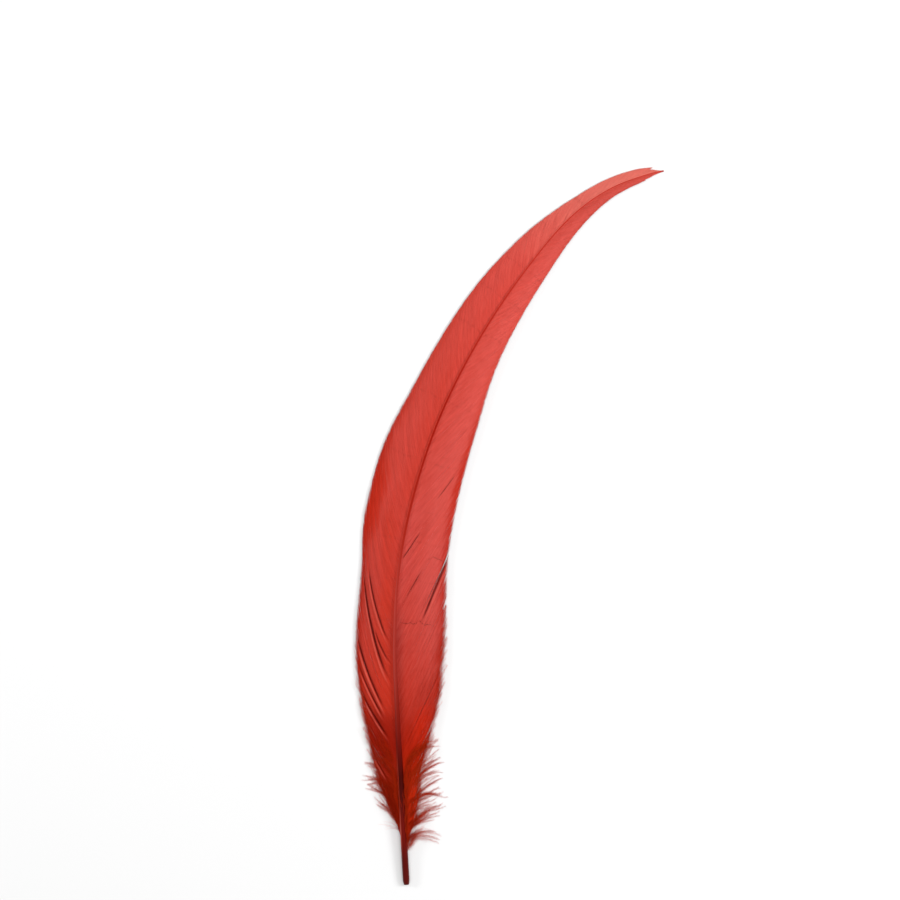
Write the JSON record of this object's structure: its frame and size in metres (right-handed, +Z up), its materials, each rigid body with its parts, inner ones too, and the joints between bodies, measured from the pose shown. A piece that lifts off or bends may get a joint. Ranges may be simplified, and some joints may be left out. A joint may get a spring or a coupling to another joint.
{
  "type": "rooster tail feather",
  "caption": "Long sickle-shaped tail feather: hollow quill, tapering shaft, two vanes of barbs in locks, and loose down at the base, lying with its upper side up.",
  "frame": {"origin": "under the middle of the feather's box, on the surface that it lies on", "axes": "+Z up, off the feather's upper side; +Y from the quill towards the tip; +X to the side that the tip bends to"},
  "size_m": [0.124, 0.2888, 0.0078],
  "materials": {
    "vane": "satin",
    "shaft": "gloss",
    "down": "matte"
  },
  "bodies": {
    "root": {"feather": "vane"}
  },
  "joints": []
}
